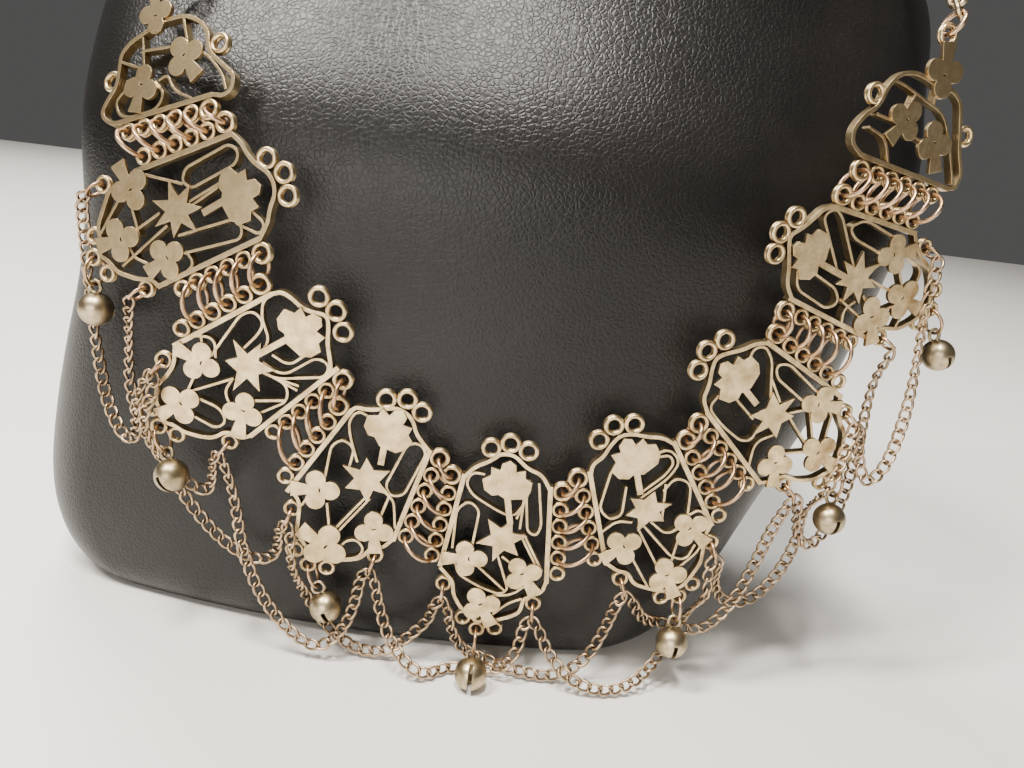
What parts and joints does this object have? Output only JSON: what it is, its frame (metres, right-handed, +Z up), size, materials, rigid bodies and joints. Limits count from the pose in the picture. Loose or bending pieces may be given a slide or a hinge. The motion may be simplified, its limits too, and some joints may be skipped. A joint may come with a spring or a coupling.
{
  "type": "filigree necklace on a neck bust",
  "caption": "Bib necklace of pierced openwork plaques joined by rows of jump rings, with hanging chains and small bells, on a leather-covered neck bust.",
  "frame": {"origin": "on the table under the middle of the necklace, at the bust's base plane", "axes": "+X to the viewer's right, -Y towards the viewer, +Z up"},
  "size_m": [0.2086, 0.1176, 0.225],
  "materials": {
    "black_leather": "black grained leatherette with a soft sheen",
    "aged_silver_plate": "pale silver-gold plate, aged and lightly tarnished",
    "warm_wire": "drawn wire with a warm copper tint",
    "bell_bronze": "pressed sheet bells, dull bronze",
    "curb_chain": "aged silver-gold curb chain",
    "neck_chain_wire": "aged silver-gold wire links"
  },
  "bodies": {
    "root": {"bust": "black_leather", "plaque_1": "aged_silver_plate", "plaque_2": "aged_silver_plate", "plaque_3": "aged_silver_plate", "plaque_4": "aged_silver_plate", "plaque_5": "aged_silver_plate", "plaque_6": "aged_silver_plate", "plaque_7": "aged_silver_plate", "plaque_8": "aged_silver_plate", "plaque_9": "aged_silver_plate", "jump_rings_1": "warm_wire", "jump_rings_2": "warm_wire", "jump_rings_3": "warm_wire", "jump_rings_4": "warm_wire", "jump_rings_5": "warm_wire", "jump_rings_6": "warm_wire", "jump_rings_7": "warm_wire", "jump_rings_8": "warm_wire", "corner_rings_2": "warm_wire", "corner_rings_3": "warm_wire", "corner_rings_4": "warm_wire", "corner_rings_5": "warm_wire", "corner_rings_6": "warm_wire", "corner_rings_7": "warm_wire", "corner_rings_8": "warm_wire", "bell_ring_2": "warm_wire", "bell_ring_3": "warm_wire", "bell_ring_4": "warm_wire", "bell_ring_5": "warm_wire", "bell_ring_6": "warm_wire", "bell_ring_7": "warm_wire", "bell_ring_8": "warm_wire", "bell_2": "bell_bronze", "bell_3": "bell_bronze", "bell_4": "bell_bronze", "bell_5": "bell_bronze", "bell_6": "bell_bronze", "bell_7": "bell_bronze", "bell_8": "bell_bronze", "swag_left_2": "curb_chain", "swag_left_3": "curb_chain", "swag_left_4": "curb_chain", "swag_left_5": "curb_chain", "swag_left_6": "curb_chain", "swag_left_7": "curb_chain", "swag_right_2": "curb_chain", "swag_right_3": "curb_chain", "swag_right_4": "curb_chain", "swag_right_5": "curb_chain", "swag_right_6": "curb_chain", "swag_right_7": "curb_chain", "neck_chain_left": "neck_chain_wire", "neck_chain_right": "neck_chain_wire", "end_ring_left": "warm_wire", "end_ring_right": "warm_wire", "clasp_ring": "neck_chain_wire"}
  },
  "joints": []
}
